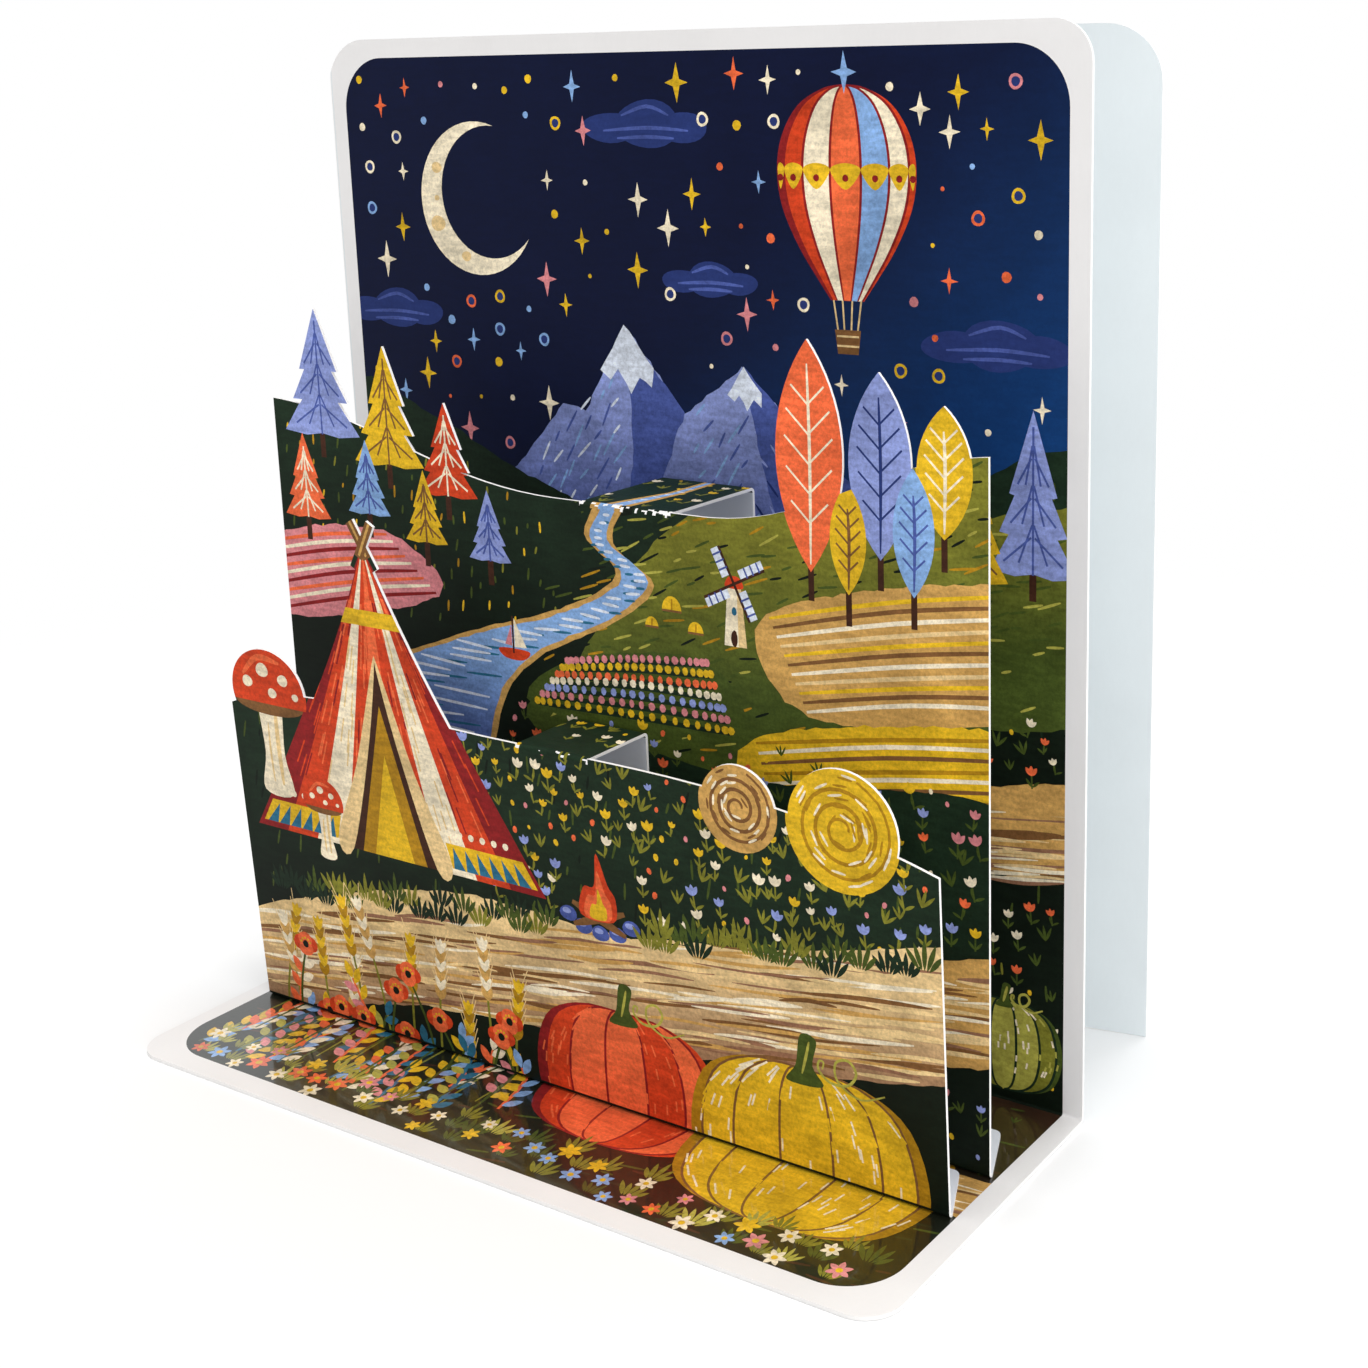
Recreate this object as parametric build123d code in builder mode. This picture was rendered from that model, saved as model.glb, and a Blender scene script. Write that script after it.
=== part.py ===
"""Standing pop-up greeting card: a folded cover board with two die-cut scene layers glued into it.

Frame: +X to the right, +Y to the back, +Z up. The origin is at the middle of the card's
footprint, on the surface that it stands on. Units are millimetres.
"""
import os
from math import cos, radians, sin, tan

from build123d import *

# Cover board: base in front, upright back panel, rear panel splayed out behind as a strut
card_width = 150.0
card_height = 168.0
base_depth = 60.0
cover_thickness = 0.6
cover_bend_radius = 0.4
splay_angle = 11.5
corner_radius = 6.0
rear_corner_radius = 9.0
crease_relief = 2.0

# Die-cut layers, shared
layer_thickness = 0.5
layer_bend_radius = 0.35
layer_inset = 4.5
tab_taper = 4.5
tab_corner_radius = 1.5
tab_clearance = 1.0
flap_length = 8.0
fold_lap = 4.0

# Middle layer: a valley between a fir hill and a poplar hill
middle_offset = 22.0
middle_lean = 0.0
middle_tab_depth = 12.0
middle_strip_height = 95.5
middle_strip_width = 18.0
middle_strip_center = 6.5
fir_hill_height = 107.0
fir_hill_slope = -0.05
poplar_hill_height = 109.0
poplar_hill_slope = 0.1
fir_tiers = 3
fir_narrowing = 0.24
fir_places = (11.5, 27.0, 40.0)
fir_feet = (102.0, 98.0, 94.0)
fir_tops = (123.0, 117.5, 109.0)
fir_half_widths = (8.6, 7.6, 6.2)
poplar_places = (29.5, 17.5, 7.0)
poplar_feet = (90.0, 93.0, 97.0)
poplar_tops = (123.5, 119.5, 115.5)
poplar_half_widths = (5.8, 5.2, 4.4)

# Front layer: a tent on a meadow, with hay bales and a toadstool
front_offset = 34.0
front_lean = 2.5
front_strip_height = 59.5
front_strip_width = 14.5
front_strip_center = 2.0
meadow_left_height = 56.0
meadow_left_slope = 0.4
meadow_right_height = 53.0
meadow_right_slope = -0.3
valley_shoulder = 5.0
tent_place = 36.0
tent_top = 88.0
tent_foot = 46.0
tent_half_width = 25.0
tent_sag = 1.4
pole_width = 1.7
pole_reach = 4.5
pole_angle = 30.0
bale_places = (33.5, 15.5)
bale_radii = (6.6, 9.2)
bale_center_height = 57.0
toadstool_place = 9.5
toadstool_cap_height = 59.0
toadstool_cap_half_width = 8.8
toadstool_cap_half_height = 7.8

# Places that follow from the sizes above
cover_bend_outer = cover_bend_radius + cover_thickness
layer_bend_outer = layer_bend_radius + layer_thickness
layer_half_width = card_width / 2 - layer_inset
rear_length = card_width - cover_bend_outer
splay_along = (cos(radians(splay_angle)), sin(radians(splay_angle)))
splay_away = (-splay_along[1], splay_along[0])
rear_reach = cover_bend_outer * (1 + splay_away[1]) + rear_length * splay_along[1]
fold_y = (base_depth - rear_reach) / 2
front_edge_y = fold_y - base_depth
spine_x = -card_width / 2 + cover_bend_outer
spine_y = fold_y + cover_bend_outer
middle_y = fold_y - middle_offset
front_y = fold_y - front_offset
front_tab_depth = front_offset - middle_offset - tab_clearance


def setback(bend_radius, turn):
    """Distance from a fold's sharp corner to where its bend begins."""
    return bend_radius * tan(radians(turn) / 2)


def on_splay(start, along, away=0.0):
    """A plan point on the rear panel, along it from the spine and away from the back panel."""
    return (
        start[0] + splay_along[0] * along + splay_away[0] * away,
        start[1] + splay_along[1] * along + splay_away[1] * away,
    )


def layer_plane(place_y, lean):
    """The printed face of a layer: x across the card, y up the sheet from the base."""
    return Plane(
        origin=(0, place_y, cover_thickness),
        x_dir=(1, 0, 0),
        z_dir=(0, -cos(radians(lean)), -sin(radians(lean))),
    )


def fold_points(place_y, lean, tab_depth, strip_height, wall_y):
    """Side view of a layer's printed face: tab, upright, strip to the wall behind, glue flap."""
    top_y = place_y - strip_height * tan(radians(lean))
    top_z = cover_thickness + strip_height
    tab_end = (place_y + tab_depth, cover_thickness)
    foot = (place_y, cover_thickness)
    crest = (top_y, top_z)
    wall = (wall_y, top_z)
    flap_end = (wall_y, top_z - flap_length)
    return tab_end, foot, crest, wall, flap_end


def part_way(start, end, distance):
    """The point on the line from start to end at that distance from start."""
    way = (Vector(*end) - Vector(*start)).normalized()
    return (start[0] + way.X * distance, start[1] + way.Y * distance)


def bent_sheet(points):
    """Section of a folded sheet that lies inside the outline of its printed face."""
    with BuildSketch() as section:
        with BuildLine():
            FilletPolyline(*points, radius=layer_bend_outer)
            offset(amount=layer_thickness, side=Side.RIGHT)
        make_face()
    return section.sketch


def ground(left_point, right_point, foot, left_slope, right_slope):
    """Ground under a smooth crest line with those slopes at its ends, down to a level foot."""
    with BuildSketch() as land:
        with BuildLine():
            crest = Spline(left_point, right_point, tangents=((1, left_slope), (1, right_slope)))
            Polyline(crest @ 1, (right_point[0], foot), (left_point[0], foot), crest @ 0)
        make_face()
    return land.sketch


def fir(place, foot, top, half_width):
    """A fir tree of stepped triangles."""
    tier_height = (top - foot) / (fir_tiers + 1) * 2
    with BuildSketch() as tree:
        for tier in range(fir_tiers):
            tier_foot = foot + tier * tier_height / 2
            tier_half = half_width * (1 - fir_narrowing * tier)
            with BuildLine():
                Polyline(
                    (place - tier_half, tier_foot),
                    (place + tier_half, tier_foot),
                    (place, tier_foot + tier_height),
                    close=True,
                )
            make_face()
    return tree.sketch


def poplar(place, foot, top, half_width):
    """A slim tree: two arcs that meet in a point."""
    middle = (foot + top) / 2
    with BuildSketch() as tree:
        with BuildLine():
            ThreePointArc((place, foot), (place - half_width, middle), (place, top))
            ThreePointArc((place, top), (place + half_width, middle), (place, foot))
        make_face()
    return tree.sketch


# Cover: base and back panel in side view, then the spine and the rear panel in plan
with BuildPart() as card_cover:
    with BuildSketch(Plane.YZ):
        with BuildLine():
            FilletPolyline(
                (front_edge_y, 0),
                (fold_y + cover_thickness, 0),
                (fold_y + cover_thickness, card_height),
                radius=cover_bend_outer,
            )
            offset(amount=cover_thickness, side=Side.LEFT)
        make_face()
    extrude(amount=card_width / 2, both=True)
    # The back panel stops where the spine's bend begins, above the notch between the two creases
    with BuildSketch(Plane.XZ.offset(-fold_y)):
        with Locations((-card_width / 2, crease_relief)):
            Rectangle(
                cover_bend_outer,
                card_height - crease_relief,
                align=(Align.MIN, Align.MIN),
            )
    extrude(amount=-cover_thickness, mode=Mode.SUBTRACT)
    with BuildSketch(Plane.XY.offset(crease_relief)):
        with BuildLine():
            Line((spine_x + fold_lap, fold_y), (spine_x, fold_y))
            spine = CenterArc((spine_x, spine_y), cover_bend_outer, 270, splay_angle - 180)
            Line(spine @ 1, on_splay(tuple(spine @ 1), rear_length))
            offset(amount=cover_thickness, side=Side.RIGHT)
        make_face()
    extrude(amount=card_height - crease_relief)
    # Below the notch the rear panel alone reaches down to the surface
    with BuildSketch(Plane.XY):
        with BuildLine():
            Polyline(
                on_splay((spine_x, spine_y), crease_relief, cover_bend_radius),
                on_splay((spine_x, spine_y), rear_length, cover_bend_radius),
                on_splay((spine_x, spine_y), rear_length, cover_bend_outer),
                on_splay((spine_x, spine_y), crease_relief, cover_bend_outer),
                close=True,
            )
        make_face()
    extrude(amount=crease_relief)
    # Rounded corners: base front, back panel top right, rear panel top, and both panels at the spine
    base_corners = card_cover.edges().filter_by(Axis.Z).group_by(Axis.Y)[0]
    fillet(base_corners, radius=corner_radius)
    back_corner = card_cover.edges().filter_by(Axis.Y).group_by(Axis.Z)[-1].sort_by(Axis.X)[-1]
    fillet(back_corner, radius=corner_radius)
    rear_tip = Vector(*on_splay((spine_x, spine_y), rear_length, cover_bend_outer), card_height)
    rear_corner = card_cover.edges().filter_by(Axis(origin=(0, 0, 0), direction=(*splay_away, 0)))
    fillet(rear_corner.sort_by_distance(rear_tip)[0], radius=rear_corner_radius)
    with BuildSketch(Plane.XZ):
        with Locations((-card_width / 2, card_height)):
            Rectangle(rear_corner_radius, rear_corner_radius, align=(Align.MIN, Align.MAX))
        with Locations((-card_width / 2 + rear_corner_radius, card_height - rear_corner_radius)):
            Circle(rear_corner_radius, mode=Mode.SUBTRACT)
    extrude(amount=base_depth + rear_reach, both=True, mode=Mode.SUBTRACT)
card_cover.part.label = "card_cover"

# Middle layer
middle_folds = fold_points(middle_y, middle_lean, middle_tab_depth, middle_strip_height, fold_y)
middle_foot = setback(layer_bend_outer, 90 - middle_lean)
middle_crest = middle_strip_height / cos(radians(middle_lean))
middle_crease = middle_crest - setback(layer_bend_outer, 90 + middle_lean)
middle_strip_left = middle_strip_center - middle_strip_width / 2
middle_strip_right = middle_strip_center + middle_strip_width / 2
with BuildPart() as middle_layer:
    with BuildSketch(Plane.YZ):
        add(bent_sheet([*middle_folds[:2], part_way(*middle_folds[1:3], middle_foot + fold_lap)]))
    extrude(amount=layer_half_width, both=True)
    tab_corners = middle_layer.edges().filter_by(Axis.Z).group_by(Axis.Y)[-1]
    chamfer(tab_corners, length=tab_taper, length2=middle_tab_depth - layer_bend_outer,
            reference=middle_layer.faces().sort_by(Axis.Y)[-1])
    fillet(middle_layer.edges().filter_by(Axis.Z).group_by(Axis.Y)[-1], radius=tab_corner_radius)
    with BuildSketch(Plane.YZ.offset(middle_strip_center)):
        add(bent_sheet([part_way(*middle_folds[2:0:-1], middle_crest - middle_crease + fold_lap), *middle_folds[2:]]))
    extrude(amount=middle_strip_width / 2, both=True)
    with BuildSketch(layer_plane(middle_y, middle_lean)):
        valley_left = (middle_strip_left - valley_shoulder, middle_strip_height)
        valley_right = (middle_strip_right + valley_shoulder, middle_strip_height)
        add(ground((-layer_half_width, fir_hill_height), valley_left, middle_foot, fir_hill_slope, 0))
        add(ground(valley_right, (layer_half_width, poplar_hill_height), middle_foot, 0, poplar_hill_slope))
        add(ground(valley_left, valley_right, middle_foot, 0, 0))
        for place, foot, top, half_width in zip(fir_places, fir_feet, fir_tops, fir_half_widths):
            add(fir(place - layer_half_width, foot, top, half_width))
        for place, foot, top, half_width in zip(poplar_places, poplar_feet, poplar_tops, poplar_half_widths):
            add(poplar(layer_half_width - place, foot, top, half_width))
        with Locations((middle_strip_center, middle_crease)):
            Rectangle(
                middle_strip_width,
                middle_strip_height,
                align=(Align.CENTER, Align.MIN),
                mode=Mode.SUBTRACT,
            )
    extrude(amount=-layer_thickness)
middle_layer.part.label = "middle_layer"

# Front layer
front_folds = fold_points(front_y, front_lean, front_tab_depth, front_strip_height, middle_y)
front_foot = setback(layer_bend_outer, 90 - front_lean)
front_crest = front_strip_height / cos(radians(front_lean))
front_crease = front_crest - setback(layer_bend_outer, 90 + front_lean)
front_strip_left = front_strip_center - front_strip_width / 2
front_strip_right = front_strip_center + front_strip_width / 2
tent_x = tent_place - layer_half_width
with BuildPart() as front_layer:
    with BuildSketch(Plane.YZ):
        add(bent_sheet([*front_folds[:2], part_way(*front_folds[1:3], front_foot + fold_lap)]))
    extrude(amount=layer_half_width, both=True)
    tab_corners = front_layer.edges().filter_by(Axis.Z).group_by(Axis.Y)[-1]
    chamfer(tab_corners, length=tab_taper, length2=front_tab_depth - layer_bend_outer,
            reference=front_layer.faces().sort_by(Axis.Y)[-1])
    fillet(front_layer.edges().filter_by(Axis.Z).group_by(Axis.Y)[-1], radius=tab_corner_radius)
    with BuildSketch(Plane.YZ.offset(front_strip_center)):
        add(bent_sheet([part_way(*front_folds[2:0:-1], front_crest - front_crease + fold_lap), *front_folds[2:]]))
    extrude(amount=front_strip_width / 2, both=True)
    with BuildSketch(layer_plane(front_y, front_lean)):
        verge_left = (front_strip_left - valley_shoulder, front_crest)
        verge_right = (front_strip_right + valley_shoulder, front_crest)
        add(ground((-layer_half_width, meadow_left_height), verge_left, front_foot, meadow_left_slope, 0))
        add(ground(verge_right, (layer_half_width, meadow_right_height), front_foot, 0, meadow_right_slope))
        add(ground(verge_left, verge_right, front_foot, 0, 0))
        # Tent with sagging sides and two poles that cross at its top
        with BuildLine():
            apex = (tent_x, tent_top)
            left_peg = (tent_x - tent_half_width, tent_foot)
            right_peg = (tent_x + tent_half_width, tent_foot)
            SagittaArc(left_peg, apex, -tent_sag)
            SagittaArc(apex, right_peg, -tent_sag)
            Line(right_peg, left_peg)
        make_face()
        with Locations((tent_x, tent_top)):
            for turn in (-pole_angle, pole_angle):
                Rectangle(pole_width, 2 * pole_reach, rotation=turn)
        for place, radius in zip(bale_places, bale_radii):
            with Locations((layer_half_width - place, bale_center_height)):
                Circle(radius)
        with Locations((toadstool_place - layer_half_width, toadstool_cap_height)):
            Ellipse(toadstool_cap_half_width, toadstool_cap_half_height)
        with Locations((front_strip_center, front_crease)):
            Rectangle(
                front_strip_width,
                front_strip_height,
                align=(Align.CENTER, Align.MIN),
                mode=Mode.SUBTRACT,
            )
    extrude(amount=-layer_thickness)
front_layer.part.label = "front_layer"

os.makedirs("parts", exist_ok=True)
export_step(card_cover.part, "parts/card_cover.step")
export_step(middle_layer.part, "parts/middle_layer.step")
export_step(front_layer.part, "parts/front_layer.step")
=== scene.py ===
"""Looks of a standing pop-up greeting card: printed sheets, light and camera.

Each sheet starts from a copy of its CAD solid. The printed faces are cut along the outlines
of a painted picture, so that every field of colour is geometry on the sheet itself.
"""
import random
from itertools import cycle
from math import asin, atan2, cos, degrees, hypot, pi, radians, sin, sqrt

import bmesh
import bpy
import numpy
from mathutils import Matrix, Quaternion, Vector
from mathutils.geometry import delaunay_2d_cdt


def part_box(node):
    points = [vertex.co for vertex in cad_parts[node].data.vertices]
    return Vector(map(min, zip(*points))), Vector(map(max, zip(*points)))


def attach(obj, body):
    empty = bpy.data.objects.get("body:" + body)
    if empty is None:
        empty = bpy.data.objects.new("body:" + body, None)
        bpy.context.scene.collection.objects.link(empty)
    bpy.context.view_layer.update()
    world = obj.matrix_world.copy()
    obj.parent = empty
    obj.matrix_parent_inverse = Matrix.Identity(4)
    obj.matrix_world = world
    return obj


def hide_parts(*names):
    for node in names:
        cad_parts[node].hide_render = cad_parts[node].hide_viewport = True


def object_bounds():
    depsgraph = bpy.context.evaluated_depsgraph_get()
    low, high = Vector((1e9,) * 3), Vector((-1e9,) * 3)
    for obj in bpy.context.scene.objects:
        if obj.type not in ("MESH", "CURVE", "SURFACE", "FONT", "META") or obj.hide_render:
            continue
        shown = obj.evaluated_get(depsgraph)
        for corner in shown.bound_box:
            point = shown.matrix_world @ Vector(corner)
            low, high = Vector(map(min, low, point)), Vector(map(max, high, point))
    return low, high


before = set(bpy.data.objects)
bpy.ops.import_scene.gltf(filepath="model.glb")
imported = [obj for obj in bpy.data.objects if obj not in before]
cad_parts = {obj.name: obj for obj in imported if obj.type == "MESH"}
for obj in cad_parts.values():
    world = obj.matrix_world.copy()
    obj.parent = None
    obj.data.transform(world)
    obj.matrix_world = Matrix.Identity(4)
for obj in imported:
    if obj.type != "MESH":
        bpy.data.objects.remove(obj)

cad_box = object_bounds()

# Sizes of the card, lengths in millimetres
MM = 0.001
BASE_DEPTH = 60.0
FRONT_OFFSET = 34.0
MIDDLE_OFFSET = 22.0
FRONT_LEAN = radians(2.5)
BOARD = 0.6
LEFT_BORDER = 4.0
RIGHT_BORDER = 3.4
TOP_BORDER = 3.2
FRONT_BORDER = 4.0
PRINT_SKEW = 0.015
FIELD_RADIUS = 9.0
PAST_FOLD = 8.0
LAYER_HALF = (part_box("middle_layer")[1].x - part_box("middle_layer")[0].x) / 2 / MM
CARD_HALF = (cad_box[1].x - cad_box[0].x) / 2 / MM
CARD_TOP = cad_box[1].z / MM
FOLD_Y = cad_box[0].y / MM + BASE_DEPTH
FRONT_Y = FOLD_Y - FRONT_OFFSET
MIDDLE_Y = FOLD_Y - MIDDLE_OFFSET
PRINTED_SIDES = (LEFT_BORDER - CARD_HALF, CARD_HALF - RIGHT_BORDER)

# Chips of bare card on the creases: widths in millimetres, places and reach in degrees round the bend
CHIP_WIDTHS = (0.25, 0.9)
CHIP_MIDDLES = (25, 65)
CHIP_REACH = (4, 40)
CORNER_REACH = 35

# How often a chip falls at a strip's left end, how much oftener at its right, where its bare corner starts
CHIP_CHANCE = 0.4
CHIP_GATHER = 1.1
CORNER_SHARE = 0.9

# Points this close are taken as one: on a picture in millimetres, on a sheet and at a cut in metres
PICTURE_JOIN = 5e-4
SHEET_JOIN = 1e-6
CUT_JOIN = 1e-7

# Faces lie in one plane if their normals agree this well and they are this near it, in metres
SAME_WAY = 0.99999
SAME_PLANE = 2e-5

# Parts of a face's normal by which faces are told apart
FACING = 0.9
FLAT = 0.9999
BENT = 0.02
PAST_LEAN = 0.06
SQUARE = 0.01
SIDEWAYS = 0.3
EDGE_ON = 0.05

# In millimetres: depth of a layer's upright part and of a strip's bend, and where its ink is read
UPRIGHT_DEPTH = 0.7
BEND_DEPTH = 1.5
BELOW_CREASE = 1.0

# Spacing of the points where a shading ink is set, and along a crayon's uneven edge, in millimetres
SHADING_GRID = 5.0
CRAYON_STEP = 1.4

# Tries for each place that is scattered
TRIES = 40

# Floor and light, lengths in metres
FLOOR_HALF = 3.0
FLOOR_DROP = 0.00005
FLOOR_FADE = (0.08, 0.36)
FLOOR_TONE = 0.92
SURROUNDINGS = 0.58
LAMP_AIM = Vector((0, 0, 0.07))

# Printing inks, as sRGB hex
INKS = {
    "board": "#eeeceb",
    "navy": "#0a1230",
    "midnight": "#123f78",
    "haze": "#27366e",
    "slate": "#4a5a9e",
    "lavender": "#8d9ad2",
    "sky": "#86abdb",
    "snow": "#dde4f0",
    "cream": "#f0e2c4",
    "gold": "#e0b424",
    "mustard": "#ad8019",
    "straw": "#c99c56",
    "sand": "#e3c48c",
    "mauve": "#93694f",
    "umber": "#7c5530",
    "bark": "#3f2418",
    "brick": "#cf421f",
    "coral": "#ec6a3e",
    "rose": "#d9868a",
    "wine": "#8a1f20",
    "deep": "#0e170e",
    "pine": "#1a2b1c",
    "moss": "#44521f",
    "olive": "#7d7b2a",
    "lime": "#aca648",
    "teal": "#2c6b88",
}

# Inks that shade into another: lower ink, upper ink, the two heights, rise per millimetre across
WASHES = {
    "night": ("midnight", "navy", 20, 128, 0.85),
    "far_peak": ("slate", "lavender", 78, 112, 0.0),
    "fir_hill": ("deep", "pine", 62, 104, -0.1),
    "grass_hill": ("moss", "olive", 62, 96, 0.15),
    "bank": ("mauve", "sand", 4, 32, 0.14),
    "meadow": ("deep", "pine", 20, 50, 0.0),
    "lake": ("slate", "sky", 46, 72, 0.0),
    "ground": ("deep", "bark", -12, 60, 0.0),
}

# How strongly the crayon grain shows, where it isn't full
GRAIN = {"board": 0.0, "night": 0.4, "haze": 0.5}

# Chance is seeded, so every run draws the same
vary = random.Random(20).uniform


def linear(hex_colour):
    """An sRGB hex colour as linear red, green and blue."""
    channels = [int(hex_colour[i:i + 2], 16) / 255 for i in (1, 3, 5)]
    return tuple(c / 12.92 if c <= 0.04045 else ((c + 0.055) / 1.055) ** 2.4 for c in channels)


PAINTS = {name: linear(colour) for name, colour in INKS.items()}


def ink_at(ink, x, y):
    """Linear colour of an ink at a place on the sheet, with the strength of its grain."""
    grain = GRAIN.get(ink, 1.0)
    if ink not in WASHES:
        return (*PAINTS[ink], grain)
    lower, upper, low, high, rise = WASHES[ink]
    share = min(1.0, max(0.0, (y - rise * x - low) / (high - low)))
    share = share * share * (3 - 2 * share)
    return (*(a + (b - a) * share for a, b in zip(PAINTS[lower], PAINTS[upper])), grain)


def smooth(points, closed=True, steps=5):
    """A rounded line through given points."""
    count = len(points)
    line = []
    for i in range(count if closed else count - 1):
        near = [k % count if closed else min(max(k, 0), count - 1) for k in range(i - 1, i + 3)]
        for step in range(steps):
            t = step / steps
            line.append(tuple(
                0.5 * (2 * q + (r - p) * t + (2 * p - 5 * q + 4 * r - s) * t ** 2
                       + (3 * q - p - 3 * r + s) * t ** 3)
                for p, q, r, s in zip(*(points[k] for k in near))
            ))
    if not closed:
        line.append(tuple(points[-1]))
    return line


def on_circle(x, y, radius, angle):
    """The point of a circle at an angle in degrees."""
    angle = radians(angle)
    return (x + radius * cos(angle), y + radius * sin(angle))


def arc(x, y, radius, start, end, steps=18):
    """Points along a circle, with angles in degrees."""
    return [on_circle(x, y, radius, start + (end - start) * i / steps) for i in range(steps + 1)]


def put(points, x, y, wide, tall=None):
    """Points of a unit drawing, at a place and size on the sheet."""
    tall = wide if tall is None else tall
    return [(x + wide * a, y + tall * b) for a, b in points]


def turned(points, x, y, angle, size=1):
    """Points of a unit drawing, turned about its origin, at a place and size on the sheet."""
    c, s = cos(angle) * size, sin(angle) * size
    return [(x + a * c - b * s, y + a * s + b * c) for a, b in points]


def stem(x, y, height, lean, side, rise):
    """A leaning stalk: its foot, the bend at given shares of lean and height, and its tip."""
    return [(x, y), (x + lean * height * side, y + height * rise), (x + lean * height, y + height)]


def by_turns(inks):
    """The inks of a list in words, over and over."""
    return cycle(inks.split())


def scatter(count, low, high, spacing, clear_of=(), inside=None):
    """Seeded places in a box, apart from each other and clear of the given spots."""
    places = []
    for _ in range(count * TRIES):
        if len(places) == count:
            break
        x, y = vary(low[0], high[0]), vary(low[1], high[1])
        near = any(hypot(x - a, y - b) < r for a, b, r in clear_of)
        crowded = any(hypot(x - a, y - b) < spacing for a, b in places)
        if not near and not crowded and (inside is None or inside(x, y)):
            places.append((x, y))
    return places


def rows_across(corners, rows):
    """Bowed lines across a four-cornered field, from its first side to its last."""
    (ax, ay), (bx, by), (cx, cy), (dx, dy) = corners
    for i in range(rows):
        t = (i + 0.5) / rows
        x0, y0 = ax + (dx - ax) * t, ay + (dy - ay) * t
        x1, y1 = bx + (cx - bx) * t, by + (cy - by) * t
        yield [(x0, y0), ((x0 + x1) / 2, (y0 + y1) / 2 + vary(0.2, 0.9)), (x1, y1)]


# A picture p is a list of fields of ink in the order they are laid down: (ink, outline in millimetres)


def shape(p, ink, outline, rough=0.0):
    """A field with straight edges, or with the unevenness of a hand-held crayon."""
    if rough:
        ring = []
        for (ax, ay), (bx, by) in zip(outline, outline[1:] + outline[:1]):
            steps = max(1, int(hypot(bx - ax, by - ay) / CRAYON_STEP))
            for i in range(steps):
                t = i / steps
                ring.append((ax + (bx - ax) * t + vary(-rough, rough),
                             ay + (by - ay) * t + vary(-rough, rough)))
        outline = ring
    p.append((ink, outline))


def blob(p, ink, points, rough=0.22):
    """A rounded field through a few points."""
    shape(p, ink, smooth(points), rough)


def spot(p, ink, x, y, across, up=None, turn=0.0, steps=14, wobble=0.035):
    """A round or oval spot, not quite even."""
    up = across if up is None else up
    phase = vary(0, 6.28)
    ring = []
    for i in range(steps):
        angle = 2 * pi * i / steps
        reach = 1 + wobble * sin(3 * angle + phase)
        ring.append((across * reach * cos(angle), up * reach * sin(angle)))
    p.append((ink, turned(ring, x, y, turn)))


def stroke(p, ink, points, width, tip=0.3, steps=4):
    """A brush stroke along a line: full in the middle, thin at its ends."""
    line = smooth(points, closed=False, steps=steps) if len(points) > 2 else list(points)
    left = []
    right = []
    for i, (x, y) in enumerate(line):
        ahead = line[min(i + 1, len(line) - 1)]
        behind = line[max(i - 1, 0)]
        dx, dy = ahead[0] - behind[0], ahead[1] - behind[1]
        length = hypot(dx, dy) or 1.0
        fullness = sin(pi * (i + 0.25) / (len(line) - 0.5)) ** 0.7
        half = width / 2 * (tip + (1 - tip) * fullness) / length
        left.append((x - dy * half, y + dx * half))
        right.append((x + dy * half, y - dx * half))
    p.append((ink, left + right[::-1]))


def dash(p, ink, x, y, length, turn, width):
    """A short straight stroke."""
    dx, dy = cos(turn) * length / 2, sin(turn) * length / 2
    stroke(p, ink, [(x - dx, y - dy), (x, y), (x + dx, y + dy)], width, steps=2)


def leaf(p, ink, x, y, length, width, turn):
    """A leaf from its stalk, pointed at both ends."""
    side = [(length * t, width / 2 * sin(pi * t) ** 0.8) for t in (0.15, 0.32, 0.5, 0.7, 0.87)]
    ring = [(0.0, 0.0)] + side + [(length, 0.0)] + [(a, -b) for a, b in side[::-1]]
    p.append((ink, turned(ring, x, y, turn)))


def hatch(p, places, length, turn, width, inks):
    """Crayon marks that follow a slope, in the inks by turns."""
    for ink, (x, y) in zip(by_turns(inks), places):
        angle = turn + vary(-0.2, 0.2)
        dash(p, ink, x, y, length * vary(0.5, 1.4), angle, width)


def tuft(p, ink, x, y, size):
    """A tuft of five grass blades."""
    for lean in (-0.62, -0.3, 0.02, 0.34, 0.66):
        length = size * vary(0.75, 1.1) * (1 - 0.4 * abs(lean))
        leaf(p, ink, x + lean * size * 0.25, y, length, size * 0.17, pi / 2 - lean)


def flowers(p, places, size, inks, stalk):
    """Meadow flowers: seed heads, cups on stalks and tufts of grass."""
    for i, (ink, (x, y)) in enumerate(zip(by_turns(inks), places)):
        s = size * vary(0.75, 1.25)
        tilt = vary(-0.5, 0.5)
        if i % 4 == 0:
            spot(p, ink, x, y, 0.42 * s, 0.55 * s, turn=tilt, steps=8)
            continue
        if i % 4 == 2:
            for lean in (-0.5, 0.05, 0.55):
                leaf(p, stalk, x, y, 2.6 * s, 0.5 * s, pi / 2 + lean + tilt)
            continue
        stroke(p, stalk, [(x - s * tilt, y - s * 2.2), (x, y)], 0.34, tip=0.6)
        for lean in (-0.75, 0.75):
            leaf(p, stalk, x - s * tilt * 0.9, y - s * 2.0, s * 1.7, s * 0.45, pi / 2 + lean + tilt)
        for lean in (-0.62, 0.62, 0.0):
            leaf(p, ink, x, y - s * 0.2, s * 1.6, s * 0.75, pi / 2 - lean - tilt * 0.6)


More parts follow.
